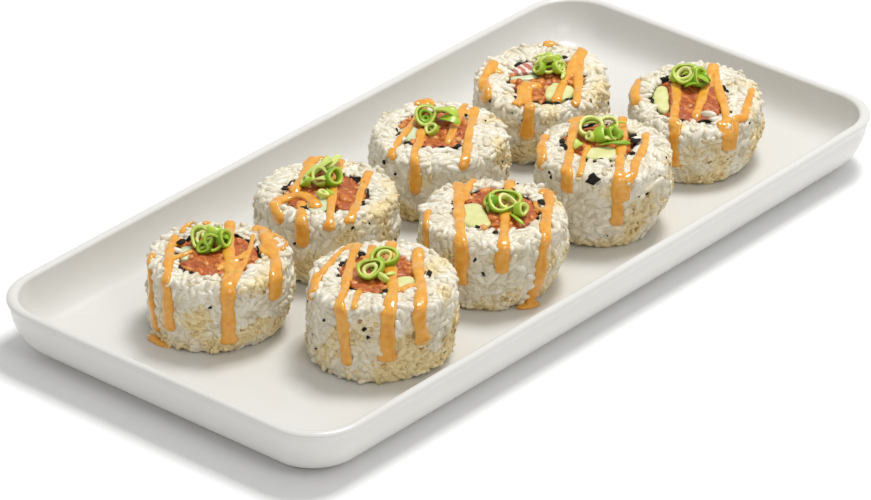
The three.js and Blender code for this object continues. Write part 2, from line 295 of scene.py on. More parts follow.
def tunaLook():
    look = Look("choppedTuna", Roughness=0.4, IOR=1.4, Subsurface_Weight=0.3, Subsurface_Scale=0.0008,
                Coat_Weight=0.15, Coat_Roughness=0.2)
    look.shader.inputs["Subsurface Radius"].default_value = (1.0, 0.35, 0.22)
    # Dark red to pale orange by tone; on the chopped body the tone holds painted shade in the creases and painted
    # highlight on the lumps, besides random tone.
    bits = look.ramp(look.tone(), [(0.0, (0.38, 0.065, 0.012)), (0.45, (0.60, 0.155, 0.024)),
                                   (0.8, (0.74, 0.29, 0.055)), (1.0, (0.80, 0.46, 0.17))])
    veins = look.ramp(look.noise(1.1, 4, 0.6, 0.8), [(0.35, (0.72, 0.6, 0.55)), (0.62, (1, 1, 1))])
    pale = look.ramp(look.noise(0.9, 3, 0.6, 1.5), [(0.56, (0, 0, 0)), (0.68, (0.6, 0.6, 0.6))])
    flesh = look.mix(0.8, bits, veins, "MULTIPLY")
    look.connect("Base Color", look.mix(pale, flesh, (0.80, 0.42, 0.14)))
    return look.finish((0.9, 3, 0.28, 0.55), (0.6, 4, 0.14, 0.6))


def fishLook():
    look = Look("fishBlock", Roughness=0.3, IOR=1.42, Subsurface_Weight=0.35, Subsurface_Scale=0.0012,
                Coat_Weight=0.3, Coat_Roughness=0.15)
    turned = look.node("Mapping", {"Vector": look.place(), "Rotation": (0.5, 0.2, 0.35)}).outputs["Vector"]
    bands = look.node("TexWave", {"Vector": turned, "Scale": 1 / (9 * mm), "Distortion": 5.0, "Detail": 2.0,
                                  "Detail Scale": 1.2}).outputs["Fac"]
    look.connect("Base Color", look.ramp(bands, [(0.35, (0.52, 0.17, 0.12)), (0.62, (0.66, 0.33, 0.25)),
                                                 (0.9, (0.85, 0.76, 0.70))]))
    look.connect("Roughness", look.spread(look.noise(0.8, 3), 0.2, 0.45))
    look.connect("Normal", look.bump(bands, 0.12, 0.5))
    return look.material


def avocadoLook():
    look = Look("avocadoFlesh", Roughness=0.42, IOR=1.42, Subsurface_Weight=0.3, Subsurface_Scale=0.0014,
                Coat_Weight=0.12, Coat_Roughness=0.25)
    look.shader.inputs["Subsurface Radius"].default_value = (1.0, 0.95, 0.4)
    look.connect("Base Color", look.mix(look.tone(), look.ramp(look.noise(3.2, 3), [
        (0.3, (0.64, 0.64, 0.24)), (0.7, (0.76, 0.74, 0.38))]), (0.34, 0.46, 0.09)))
    return look.finish((1.2, 3, 0.3, 0.55), (1.5, 4, 0.16, 0.5))


def cucumberLook():
    look = Look("cucumberFlesh", Roughness=0.25, IOR=1.4, Subsurface_Weight=0.5, Subsurface_Scale=0.002,
                Coat_Weight=0.4, Coat_Roughness=0.1)
    look.shader.inputs["Subsurface Radius"].default_value = (0.8, 1.0, 0.6)
    look.connect("Base Color", look.mix(look.tone(), look.ramp(look.noise(2.4, 3), [
        (0.3, (0.56, 0.68, 0.38)), (0.7, (0.70, 0.76, 0.52))]), (0.05, 0.16, 0.02)))
    return look.finish((1.0, 3, 0.15, 0.35), (1.0, 3, 0.1, 0.5))


def scallionLook():
    look = Look("scallionLeaf", Roughness=0.32, IOR=1.42, Subsurface_Weight=0.25, Subsurface_Scale=0.001,
                Coat_Weight=0.25, Coat_Roughness=0.15)
    look.shader.inputs["Subsurface Radius"].default_value = (0.6, 1.0, 0.25)
    green = look.ramp(look.tone(), [(0.0, (0.07, 0.17, 0.004)), (0.3, (0.22, 0.42, 0.010)),
                                    (0.6, (0.48, 0.62, 0.045)), (1.0, (0.82, 0.82, 0.30))])
    look.connect("Base Color", look.mix(0.5, green, look.ramp(look.noise(1.0, 3), [
        (0.3, (0.7, 0.8, 0.6)), (0.7, (1, 1, 1))]), "MULTIPLY"))
    return look.finish((0.8, 3, 0.2, 0.45), (0.5, 3, 0.06, 0.5))


def sauceLook():
    look = Look("spicyMayo", Roughness=0.26, IOR=1.42, Subsurface_Weight=0.25, Subsurface_Scale=0.001,
                Coat_Weight=0.8, Coat_Roughness=0.06)
    look.shader.inputs["Subsurface Radius"].default_value = (1.0, 0.55, 0.25)
    look.connect("Base Color", look.ramp(look.noise(2.6, 4), [(0.3, (0.74, 0.29, 0.018)),
                                                              (0.5, (0.80, 0.37, 0.035)),
                                                              (0.75, (0.86, 0.46, 0.08))]))
    return look.finish((1.2, 3, 0.14, 0.32), (2.1, 2, 0.45, 0.6))


def sesameLook():
    look = Look("toastedSesame", Roughness=0.42, IOR=1.45, Coat_Weight=0.15, Coat_Roughness=0.2)
    shell = look.ramp(look.tone(), [(0.0, (0.26, 0.13, 0.04)), (0.3, (0.62, 0.43, 0.16)),
                                    (1.0, (0.86, 0.73, 0.43))])
    look.connect("Base Color", look.mix(0.5, shell, look.ramp(look.noise(0.6, 2), [
        (0.3, (0.85, 0.78, 0.65)), (0.7, (1, 1, 1))]), "MULTIPLY"))
    return look.finish((0.5, 2, 0.3, 0.5), (0.35, 2, 0.04, 0.5))


# Camera, lights and floor.

studio = {
    "azimuth": -49.44, "elevation": 29.15,  # degrees; azimuth 0 looks along +Y
    "distance": 1.8906, "lens": 225.8,  # metres, and millimetres on a 36 mm sensor
    "target": (-0.0025, 0.0051, 0.0),  # metres
    "floorSize": 9.0,  # metres
}


def sunnyFloor():
    look = Look("paperSweep", Roughness=0.9, Specular_IOR_Level=0.1)
    paper = look.ramp(look.noise(400, 2), [(0.3, (0.93, 0.93, 0.93)), (0.7, (0.95, 0.95, 0.95))])
    look.connect("Base Color", paper)
    half = studio["floorSize"] / 2
    corners = [(-half, -half, 0), (half, -half, 0), (half, half, 0), (-half, half, 0)]
    floor = makePiece("floor", corners, [(0, 1, 2, 3)], look.material)
    floor.location.z = -0.0002


def softbox(name, location, target, size, power, color=(1, 1, 1)):
    data = bpy.data.lights.new(name, "AREA")
    data.shape = "RECTANGLE"
    data.size, data.size_y = size
    data.energy = power
    data.color = color
    lamp = bpy.data.objects.new(name, data)
    lamp.location = location
    lamp.rotation_euler = (Vector(target) - Vector(location)).to_track_quat("-Z", "Y").to_euler()
    bpy.context.scene.collection.objects.link(lamp)


softboxes = [  # name, place, aim, size and power
    ("keyBox", (0.50, 0.0, 1.42), (0, 0, 0.01), (0.45, 0.45), 15.9),
    ("frontBox", (-0.40, -1.15, 1.10), (0, 0, 0.02), (0.5, 0.6), 3.2),
]
airStrength = 0.52  # of the white all round


def buildStudio():
    scene = bpy.context.scene
    azimuth, elevation = math.radians(studio["azimuth"]), math.radians(studio["elevation"])
    back = Vector((math.sin(azimuth) * math.cos(elevation), -math.cos(azimuth) * math.cos(elevation),
                   math.sin(elevation)))
    data = bpy.data.cameras.new("camera")
    data.lens = studio["lens"]
    data.sensor_width = 36
    camera = bpy.data.objects.new("camera", data)
    camera.location = Vector(studio["target"]) + back * studio["distance"]
    camera.rotation_euler = (-back).to_track_quat("-Z", "Y").to_euler()
    scene.collection.objects.link(camera)
    scene.camera = camera
    world = bpy.data.worlds.new("studioAir")
    world.use_nodes = True
    world.node_tree.nodes["Background"].inputs["Color"].default_value = (1, 1, 1, 1)
    world.node_tree.nodes["Background"].inputs["Strength"].default_value = airStrength
    scene.world = world
    scene.view_settings.view_transform = "Standard"
    for box in softboxes:
        softbox(*box)
    sunnyFloor()


# Plate.

plateShape = {
    "cornerRadius": 19, "cornerTightening": 0.45, "wallRun": 15.5, "beadWidth": 3.4, "beadHeight": 2.6,
    "grooveDepth": 0.7, "outerTurn": (1.6, 4.5), "coveLean": 2,
    "footInset": 11.2, "footWidth": 6, "footHeight": 1.5, "sideBow": 0.7,
    "rimWave": 0.25,  # the rim rises and falls by this much
}


def bezierRun(start, bend, end, steps):
    run = []
    for s in range(1, steps + 1):
        t = s / steps
        run.append(tuple((1 - t) ** 2 * a + 2 * t * (1 - t) * b + t * t * c
                         for a, b, c in zip(start, bend, end)))
    return run


def plateSection(height, floor):
    shape = plateShape
    footEnd = shape["footInset"] + shape["footWidth"]
    groove = (shape["grooveDepth"], height - shape["beadHeight"])
    beadX, beadY = shape["beadWidth"] / 2, height - shape["beadHeight"] / 2
    section = [(footEnd + 4, shape["footHeight"]), (footEnd + 1.6, shape["footHeight"]),
               (footEnd + 1, shape["footHeight"] - 0.3), (footEnd + 0.4, 0.25), (footEnd, 0.05),
               (footEnd - 0.5, 0), (shape["footInset"] + 0.6, 0), (shape["footInset"] + 0.1, 0.1),
               (shape["footInset"] - 0.3, 0.5)]
    wallStart = (shape["footInset"] - 0.75, shape["footHeight"])
    section += [wallStart] + bezierRun(wallStart, shape["outerTurn"], groove, 14)
    for s in range(19):
        angle = math.pi * (1.12 - 1.12 * s / 18)
        section.append((beadX + beadX * math.cos(angle), beadY + shape["beadHeight"] / 2 * math.sin(angle)))
    lipEnd = section[-1]
    coveBend = (shape["beadWidth"] + shape["coveLean"], floor)
    return section + bezierRun(lipEnd, coveBend, (shape["wallRun"], floor), 20)


def plateRing(inset, height, length, width):
    shape = plateShape
    halfX, halfY = length / 2 - inset, width / 2 - inset
    radius = max(4, shape["cornerRadius"] - shape["cornerTightening"] * inset)
    ring = []
    for index, (sideX, sideY) in enumerate([(1, 1), (-1, 1), (-1, -1), (1, -1)]):
        for step in range(17):
            angle = (index + step / 16) * math.pi / 2
            ring.append((sideX * (halfX - radius) + radius * math.cos(angle),
                         sideY * (halfY - radius) + radius * math.sin(angle)))
        steps = 36 if index % 2 == 0 else 14
        start = ring[-1]
        end = (-sideX * (halfX - radius), sideY * halfY) if index % 2 == 0 else \
            (sideX * halfX, -sideY * (halfY - radius))
        for step in range(1, steps):
            t = step / steps
            ring.append((start[0] + (end[0] - start[0]) * t, start[1] + (end[1] - start[1]) * t))
    placed = []
    for x, y in ring:
        alongX, alongY = 2 * x / length, 2 * y / width
        bow = shape["sideBow"]
        swollenY = y + bow * alongY * ((1 - alongX * alongX) - 1)
        swollenX = x + bow / 2 * alongX * ((1 - alongY * alongY) - 1)
        share = max(0.0, (height - 6) / 15.5)
        wave = shape["rimWave"] * share * (math.sin(x / 31 + 0.7) * math.cos(y / 23 + 1.1) - 0.7)
        placed.append((swollenX * mm, swollenY * mm, (height + wave) * mm))
    return placed


def buildPlate():
    low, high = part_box("plate")
    length, width, height = [(high[k] - low[k]) / mm for k in range(3)]
    floor = plateFloor / mm
    rings = [plateRing(inset, z, length, width) for inset, z in plateSection(height, floor)]
    for inset in (17.5, 21, 28, 40, 52, 64):  # the floor, inwards
        rings.append(plateRing(inset, floor, length, width))
    for inset in (21.5, 28, 38, 50, 64):  # the recess under the plate, outwards
        rings.insert(0, plateRing(inset + 1, plateShape["footHeight"], length, width))
    columns = len(rings[0])
    verts = [point for ring in rings for point in ring]
    faces = gridFaces(len(rings), columns)
    faces.append(tuple(reversed(range(columns))))
    faces.append(tuple(range((len(rings) - 1) * columns, len(rings) * columns)))
    plate = makePiece("plateBody", verts, faces, plateLook())
    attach(plate, "root")
    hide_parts("plate")
    print("plate made:", len(faces), "faces")


# Where things are on a slice.

class Slice:  # reads one slice's solids and finds places on its skin
    def __init__(self, name):
        self.name = name
        self.seed = int(name[4:])
        low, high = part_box(name + "_rice")
        self.centre = Vector(((low.x + high.x) / 2, (low.y + high.y) / 2, 0))
        self.radius = (high.x - low.x + high.y - low.y) / 4
        self.parts = [n for n in cadNodes if n.startswith(name + "_") and not n.endswith("scallion")]
        self.skin = self.treeOf(self.parts)
        self.riceSkin = self.treeOf([name + "_rice"])
        self.looks = ([], [])
        self.top = high.z
        self.height = high.z - low.z

    def treeOf(self, names):
        verts, faces = [], []
        for n in names:
            mesh = cadNodes[n].data
            start = len(verts)
            verts += [v.co.copy() for v in mesh.vertices]
            faces += [[i + start for i in p.vertices] for p in mesh.polygons]
        return BVHTree.FromPolygons(verts, faces)

    def place(self, across, along, z=0.0):  # a point from the slice's own axes
        return self.centre + acrossAxis * (across * mm) + alongAxis * (along * mm) + upAxis * z

    def topAt(self, across, along):
        hit = self.skin.ray_cast(self.place(across, along, self.top + 0.02), -upAxis)
        return hit[0] if hit[0] else self.place(across, along, self.top)

    def dress(self, piece):  # what the sauce and the small things lie on
        points = [Vector(p) for p in pointsOf(piece)]
        start = len(self.looks[0])
        self.looks[0].extend(points)
        self.looks[1].extend([[i + start for i in p.vertices] for p in piece.data.polygons])
        self.dressed = BVHTree.FromPolygons(*self.looks)

    # The slice's skin laid out flat: past the rim, the rest of the way runs down the side.
    def above(self, across, along):
        way, round = math.hypot(across, along) * mm, 3 * mm
        outward = (acrossAxis * across + alongAxis * along).normalized() if way > 0 else acrossAxis
        if way <= self.radius - round:
            return self.place(across, along, self.top + 8 * mm), upAxis
        if way < self.radius + round:
            angle = (way - self.radius + round) / (2 * round) * math.pi / 2
            facing = outward * math.sin(angle) + upAxis * math.cos(angle)
            pivot = self.centre + outward * (self.radius - round) + upAxis * (self.top - round)
            return pivot + facing * (round + 8 * mm), facing
        level = self.top - (way - self.radius)
        return self.centre + outward * (self.radius + 8 * mm) + upAxis * level, outward


slices = [Slice(name) for name in sliceNames]


# Rice.

riceShape = {
    "length": (4.6, 6.8), "width": (2.4, 3.0), "thickness": (2.1, 2.5),
    "spacing": (2.3, 2.65),  # least distance between grains of the first and second sowing
    "sink": (1.0, 1.2),  # how far the middle of the grains lies under the solid's skin
    "coreDepth": 0.3, "coreRelief": 0.3,
    "rimGrains": 30, "rimReach": (0.4, 2.6),  # grains that lean over the nori
}


def grainShape(bend, blunt):  # a plump grain one unit long and wide, lying along X
    stations = [-1, -0.84, -0.35, 0.35, 0.84, 1]
    around = 6
    verts = [(-0.5, 0, bend)]
    for s in stations[1:-1]:
        reach = (1 - abs(s) ** blunt) ** 0.5 / 2
        for j in range(around):
            angle = 2 * math.pi * j / around
            verts.append((s / 2, reach * math.cos(angle), reach * math.sin(angle) + bend * s * s))
    verts.append((0.5, 0, bend))
    return np.array(verts), podFaces(len(stations) - 2, around)


def surfaceSamples(node, rng, density, keep):  # random points of a solid's skin with their normals
    mesh = cadNodes[node].data
    mesh.calc_loop_triangles()
    samples = []
    for triangle in mesh.loop_triangles:
        a, b, c = [mesh.vertices[i].co for i in triangle.vertices]
        normal = (b - a).cross(c - a)
        area = normal.length / 2 / (mm * mm)
        if area < 1e-6:
            continue
        normal.normalize()
        count = int(area * density + rng.random())
        for _ in range(count):
            r, s = rng.random(), rng.random()
            if r + s > 1:
                r, s = 1 - r, 1 - s
            point = a + (b - a) * r + (c - a) * s
            if keep(point, normal):
                samples.append((point, normal))
    rng.shuffle(samples)
    return samples


def spacedOut(samples, distance):  # drops samples that lie too near an earlier one
    cell = distance * mm
    grid, kept = {}, []
    for point, normal in samples:
        key = tuple(int(math.floor(c / cell)) for c in point)
        near = False
        for dx in (-1, 0, 1):
            for dy in (-1, 0, 1):
                for dz in (-1, 0, 1):
                    for other in grid.get((key[0] + dx, key[1] + dy, key[2] + dz), ()):
                        if (other - point).length < cell:
                            near = True
        if not near:
            grid.setdefault(key, []).append(point)
            kept.append((point, normal))
    return kept


def seedPatchAndLowShade(slice, point):  # where the sesame lies thick, above 0; its rise low on the side is also painted warm shade in the rice coat
    share = (point.z - plateFloor) / slice.height
    turned = (point - slice.centre).dot(acrossAxis) / slice.radius
    # Painted shade: the last term makes the tan coat heavier towards the bottom of the side, standing in for warm
    # shade there as well as for sesame.
    return ripple(point, 10, slice.seed + 11) + 0.34 + 0.22 * turned - 0.75 * max(0, share - 0.15)


def sliceSwell(point, slice):  # slow in and out of the slice's side, in millimetres
    return 1.0 * ripple(point, 11, slice.seed) + 0.8 * ripple(point, 5, slice.seed + 3)


def lay(verts, point, along, normal):  # turns and moves a shape that lies along X with Z up
    side = normal.cross(along).normalized()
    along = side.cross(normal).normalized()
    turn = np.array([along, side, normal])
    return verts @ turn + np.array(point)


def tangentOf(normal, rng):
    free = Vector((rng.gauss(0, 1), rng.gauss(0, 1), rng.gauss(0, 1)))
    return (free - normal * free.dot(normal)).normalized()


grainBends = [(0.0, 2.4), (0.05, 2.7), (-0.04, 2.2), (0.08, 2.5)]  # and how blunt the ends are
grainShapes = [grainShape(bend, blunt) for bend, blunt in grainBends]


def addGrain(heap, rng, point, normal, sink, tone):
    shape = riceShape
    verts, faces = rng.choice(grainShapes)
    size = np.array([rng.uniform(*shape["length"]), rng.uniform(*shape["width"]),
                     rng.uniform(*shape["thickness"])]) * mm
    lean = (normal + Vector((rng.gauss(0, 0.16), rng.gauss(0, 0.16), rng.gauss(0, 0.16)))).normalized()
    along = tangentOf(lean, rng)
    heap.add(lay(verts * size, point - normal * (sink * mm), along, lean), faces, tone)


def riceCore(slice, heap):
    source = cadNodes[slice.name + "_rice"]
    faces = [p.vertices for p in source.data.polygons]
    core = makePiece("core", pointsOf(source), faces, bpy.data.materials[0])
    remeshed(core, 1.0, 4)
    points, normals = pointsOf(core), normalsOf(core)
    for i, (point, normal) in enumerate(zip(points, normals)):
        relief = riceShape["coreRelief"] * ripple(point, 2.0, slice.seed + 8)
        relief = 0.8 * sliceSwell(point, slice) + relief
        points[i] = point + normal * ((relief - riceShape["coreDepth"]) * mm)
    liftOffFloor(points, 0.15)
    heap.add(points, [tuple(p.vertices) for p in core.data.polygons], 0.6)
    bpy.data.objects.remove(core)


def addRimGrains(slice, heap, rng):
    centre, reach = loopOutline(slice)
    columns = len(reach)
    for _ in range(riceShape["rimGrains"]):
        column = rng.randrange(columns)
        angle = 2 * math.pi * column / columns
        outward = Vector((math.cos(angle), math.sin(angle), 0))
        place = centre + outward * (reach[column] + rng.uniform(*riceShape["rimReach"]) * mm)
        if ripple((place.x, place.y, 0), 7, slice.seed + 20) < -0.18:
            continue
        ground = slice.riceSkin.ray_cast(Vector((place.x, place.y, slice.top + 0.02)), -upAxis)[0]
        if ground is None:
            ground = slice.place(0, 0, slice.top - 0.5 * mm)
            ground.x, ground.y = place.x, place.y
        tone = shadeNear(rng, 0.75, 0.15)
        addGrain(heap, rng, ground, upAxis, rng.uniform(0.2, 0.9), tone)


def buildRice(slice, material):
    rng = random.Random(100 + slice.seed)
    node = slice.name + "_rice"
    loop = Vector([(a + b) / 2 for a, b in zip(*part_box(slice.name + "_nori"))])

    def outside(point, normal):
        inward = (loop - point)
        inward.z = 0
        facesLoop = abs(normal.z) < 0.5 and normal.dot(inward) > 0
        under = normal.z < -0.9 and (point - slice.centre).xy.length < slice.radius - 4 * mm
        return not facesLoop and not under

    heap = Heap()
    riceCore(slice, heap)
    for spacing, sink in zip(riceShape["spacing"], riceShape["sink"]):
        samples = surfaceSamples(node, rng, 0.9, outside)
        for point, normal in spacedOut(samples, spacing):
            swell = sliceSwell(point, slice)
            tone = shadeNear(rng, 0.62, 0.26)
            addGrain(heap, rng, point, normal, sink - swell * 0.8 + rng.uniform(-0.45, 0.25), tone)
    addRimGrains(slice, heap, rng)
    rice = heap.piece(slice.name + "Rice", material, "rice")
    points = pointsOf(rice)
    # The coat tone: sesame patches, and painted warm shade low on the sides.
    setTone(rice, "coat", [seedPatchAndLowShade(slice, Vector(point)) for point in points])
    liftOffFloor(points)
    setPoints(rice, points)
    slice.dress(rice)
    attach(rice, "root")
    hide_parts(node)
    print(slice.name, "rice:", len(rice.data.polygons), "faces")


# Nori.

noriShape = {"thickness": 0.55, "wrinkle": 0.45, "torn": 2.0, "proud": -0.5, "columns": 110, "rows": 8}


def loopOutline(slice):  # the middle line of the nori solid, as distances from its centre
    low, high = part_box(slice.name + "_nori")
    centre = (low + high) / 2
    tree = slice.treeOf([slice.name + "_nori"])
    count = noriShape["columns"]
    reach = []
    for i in range(count):
        angle = 2 * math.pi * i / count
        outward = Vector((math.cos(angle), math.sin(angle), 0))
        hit = tree.ray_cast(centre, outward)
        reach.append(hit[3] + 0.3 * mm)
    reach = np.array(reach)
    for _ in range(4):
        reach = (np.roll(reach, 1) + reach * 2 + np.roll(reach, -1)) / 4
    return centre, reach


def buildNori(slice, material):
    shape = noriShape
    centre, reach = loopOutline(slice)
    base = plateFloor + 0.05 * mm
    columns, rows = shape["columns"], shape["rows"]
    verts = []
    for side in (-1, 1):
        for row in range(rows):
            share = row / (rows - 1)
            level = share if side < 0 else 1 - share
            for i in range(columns):
                angle = 2 * math.pi * i / columns
                outward = Vector((math.cos(angle), math.sin(angle), 0))
                spot = centre + outward * reach[i]
                top = slice.skin.ray_cast(Vector((spot.x, spot.y, slice.top + 0.02)), -upAxis)[0]
                topZ = (top.z if top else slice.top) + shape["proud"] * mm
                topZ += shape["torn"] * mm * ripple((spot.x, spot.y, 0), 3.0, slice.seed)
                z = base + (topZ - base) * level
                wrinkle = shape["wrinkle"] * ripple((spot.x, spot.y, z), 4.0, slice.seed + 5)
                thick = shape["thickness"] * (0.8 + 0.5 * ripple((spot.x, spot.y, z), 2.0, slice.seed))
                off = (wrinkle + side * thick / 2) * mm
                place = spot + outward * off
                verts.append((place.x, place.y, z))
    faces = [tuple(reversed(face)) for face in gridFaces(2 * rows, columns, closedRows=True)]
    nori = makePiece(slice.name + "Nori", verts, faces, material)
    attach(nori, "root")
    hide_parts(slice.name + "_nori")


# Fillings.

def solidCopy(slice, kind, voxel, smoothing):
    source = cadNodes[slice.name + "_" + kind]
    piece = makePiece(slice.name + kind.capitalize(), pointsOf(source),
                      [p.vertices for p in source.data.polygons], bpy.data.materials[0])
    remeshed(piece, voxel, smoothing)
    return piece


def finishFilling(slice, piece, kind, material):
    piece.data.materials.clear()
    piece.data.materials.append(material)
    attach(piece, "root")
    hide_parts(slice.name + "_" + kind)


tunaShape = {
    "bitSize": (2.0, 4.0), "bits": 52, "relief": 0.8, "voxel": 1.15,
    "whole": {"roll8": 2.1},  # slices with a whole piece, and how far apart its fibres lie
}


def bitShape(seed):  # a small uneven lump, one unit across
    rows, around = 6, 8
    verts = []
    for i in range(1, rows):
        lat = math.pi * i / rows
        for j in range(around):
            lon = 2 * math.pi * j / around
            p = Vector((math.sin(lat) * math.cos(lon), math.sin(lat) * math.sin(lon), -math.cos(lat)))
            verts.append(p * 0.5 * (1 + 0.45 * noise.noise(p * 1.4 + Vector((seed * 5, 0, 0)))))
    verts = [Vector((0, 0, -0.45))] + verts + [Vector((0, 0, 0.45))]
    return np.array(verts), podFaces(rows - 1, around)


bitShapes = [bitShape(seed) for seed in range(6)]


def buildTuna(slice, material):
    rng = random.Random(300 + slice.seed)
    body = solidCopy(slice, "tuna", 0.7 if slice.name in tunaShape["whole"] else tunaShape["voxel"], 2)
    points, normals = pointsOf(body), normalsOf(body)
    tones = []
    fibre = tunaShape["whole"].get(slice.name)
    for i, (point, normal) in enumerate(zip(points, normals)):
        chop = noise.voronoi(Vector(point) / (3.2 * mm))[0]
        relief = (chop[1] - chop[0]) - 0.35
        points[i] = point + normal * (tunaShape["relief"] * relief * mm) * max(0.25, normal[2])
        # Painted shade and highlight: the tone rises with the relief, so the creases between the chopped bits are
        # darker and the raised lumps paler, besides random tone.
        tones.append(0.3 + 0.35 * relief + 0.3 * ripple(point, 2.4, slice.seed))
        if fibre:
            offset = Vector(point) - slice.centre
            wander = 1.6 * ripple(point, 5.0, slice.seed + 2)
            way = (offset.dot(acrossAxis) + 0.7 * offset.dot(alongAxis)) / (fibre * mm)
            line = math.sin((way + wander) * 2.6)
            tones[-1] = 0.08 + 0.7 * max(0.0, line) ** 2
    liftOffFloor(points)
    heap = Heap()
    heap.add(points, [tuple(p.vertices) for p in body.data.polygons], np.clip(tones, 0, 1))
    bpy.data.objects.remove(body)
    samples = surfaceSamples(slice.name + "_tuna", rng, 1.2, lambda point, normal: normal.z > 0.6)
    for point, normal in spacedOut(samples, 2.2)[:tunaShape["bits"] // (12 if fibre else 1)]:
        verts, faces = rng.choice(bitShapes)
        size = rng.uniform(*tunaShape["bitSize"])
        scale = np.array([size * rng.uniform(1.0, 1.7), size, size * 0.7]) * mm
        lean = (normal + Vector((rng.gauss(0, 0.3), rng.gauss(0, 0.3), 0))).normalized()
        spot = point - normal * (size * rng.uniform(0.1, 0.4) * mm)
        laid = lay(verts * scale, spot, tangentOf(lean, rng), lean)
        heap.add(laid, faces, shadeNear(rng, 0.58, 0.22))
    tuna = heap.piece(slice.name + "Tuna", material, "tuna")
    slice.dress(tuna)
    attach(tuna, "root")
    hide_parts(slice.name + "_tuna")


stickShape = {
    "avocado": {"voxel": 0.85, "soften": 4, "relief": 0.25, "edge": 1.6, "proud": 0.25},
    "cucumber": {"voxel": 0.8, "soften": 3, "relief": 0.18, "edge": 0.5, "proud": 0.15},
    "fish": {"voxel": 0.6, "soften": 4, "relief": 0.2, "edge": 0.5, "proud": 0.5},
}


def buildStick(slice, kind, material):
    shape = stickShape[kind]
    piece = solidCopy(slice, kind, shape["voxel"], shape["soften"])
    points, normals = pointsOf(piece), normalsOf(piece)
    loopLow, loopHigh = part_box(slice.name + "_nori")
    loop = (loopLow + loopHigh) / 2
    reach = (loopHigh - loopLow).xy.length / 2 / math.sqrt(2)
    tones = []
    for i, (point, normal) in enumerate(zip(points, normals)):
        lift = shape["relief"] * ripple(point, 3.0, slice.seed) + (shape["proud"] if normal[2] > 0.5 else 0)
        points[i] = point + normal * (lift * mm)
        rim = reach - (Vector(point) - loop).xy.length  # how near the outside of the loop
        tones.append(min(1, max(0, 1 - rim / (shape["edge"] * 1.6 * mm))))
    liftOffFloor(points)
    setPoints(piece, points)
    setTone(piece, "tone", tones)
    slice.dress(piece)
    finishFilling(slice, piece, kind, material)


# Sauce.

# A run starts on the top, crosses the rim and stops down the side: start across and along, where round
# the slice it crosses and where it stops (degrees, 0 faces the front), how far it drops, width.
# A link lies on the top: from across and along, to across and along, width.
# A curl is part of an oval on the top: centre across and along, half sizes, first angle, turn, width.
sauceShape = {
    "thickness": 0.27,  # half the height of its section against its width
    "lift": -0.2,  # of its middle, over the highest grain under it
    "voxel": 0.52,
    "wander": 0.9,  # how far a run strays to its sides
    "runs": {
        "roll1": [(-22, 1, -86, -60, 24, 3.6), (-15, 12, -47, -41, 20, 4), (3, 21, 9, 9, 23, 5),
                  (8, -5, 11, 11, 0, 3.6), (14, 19, 56, 51, 10, 5.4)],
        "roll2": [(-9, -9, -22, -20, 11, 4.4), (-17, -12, -46, -42, 5, 4.2), (4, 22, 2, 1, 4, 4),
                  (14, 13, 18, 18, 1, 4)],
        "roll3": [(-4, 23, -44, -44, 2, 3.4), (-6, 0, -20, -19, 13, 4), (13, 17, 22, 20, 4, 4.2)],
        "roll4": [(-17, 10, -68, -58, 6, 5), (-5, -3, -27, -27, 0, 4.4), (-5, -4, -13, -14, 15, 4.2),
                  (15, 17, 27, 27, 0, 4.2)],
        "roll5": [(-22, 1, -70, -68, 5, 3), (-8, 22, -35, -28, 23, 4.2), (3, 22, 6, 4, 20, 5.4),
                  (12, 17, 32, 32, 15, 5.2), (-7, -9, -21, -21, 0, 3), (-10, 21, -68, -68, 1, 2.8)],
        "roll6": [(-21, 0, -74, -67, 10, 3.4), (-12, 21, -28, -26, 17, 5), (6, 23, 7, 6, 11, 4.8),
                  (19, 15, 46, 36, 26, 4.8)],
        "roll7": [(-20, 9, -71, -69, 6, 4), (-9, 21, -36, -34, 9, 4.4), (-5, 1, -22, -22, 0, 2.8),
                  (7, 20, 12, 10, 20, 4.6), (15, 10, 23, 13, 10, 4)],
        "roll8": [(-21, 11, -80, -75, 2, 4), (-7, 9, -22, -20, 19, 4.4), (7, 20, 26, 25, 13, 4.4),
                  (20, 5, 41, 28, 13, 3.8)],
    },
    "links": {
        "roll1": [(15, 11, 20, 5, 2), (7, -14, 11, 14, 2.2), (-17, 2, -12, 10, 2.4), (-17, -7, -8, 2, 2.6),
                  (10, 2, 5, -6, 2), (-6, 19, -4, 24, 2.8)],
        "roll2": [(-5, 23, -12, -3, 5)],
        "roll3": [(4, -9, 10, 15, 2.4), (10, 21, 3, -10, 3.4)],
        "roll4": [(3, 23, 2, 18, 5.2), (15, 20, 4, -17, 4.4)],
        "roll5": [(-3, 20, -8, 4, 3.8)],
        "roll6": [(14, 7, 18, -3, 2.2), (-6, 23, -10, 6, 3.8)],
        "roll8": [(7, 20, -1, -15, 4.2)],
    },
    "curls": {
        "roll1": [(14, 16, 3, 4, 200, -290, 2.2), (20, 8, 3, 6, 170, -280, 2.2), (18, 3, 4, 5, 150, 130, 2),
                  (-9, 12, 4, 7, 180, -90, 2.6), (2, -13, 2, 6, 170, -200, 2.2)],
        "roll2": [(-11, -13, 7, 8, 190, -200, 5.4), (-4, 16, 4, 6, 190, -150, 3.4)],
        "roll3": [(-5, 19, 3, 4, 180, -200, 2.4)],
        "roll4": [(-5, -9, 4, 3, 170, -160, 4.6), (-17, 0, 2, 4, 20, 150, 3.4)],
        "roll5": [(10, -12, 3, 5, 180, -180, 3.4)],
        "roll6": [(18, 9, 2, 6, 170, -230, 2.6)],
        "roll7": [(-9, 17, 2, 5, 200, -210, 3)],
    },
    "pools": {  # on the plate: across, along, length, width, turn in degrees
        "roll1": [(-19, -13, 13, 7, -38)],
        "roll6": [(12, -18, 10, 6, 28)],
    },
}


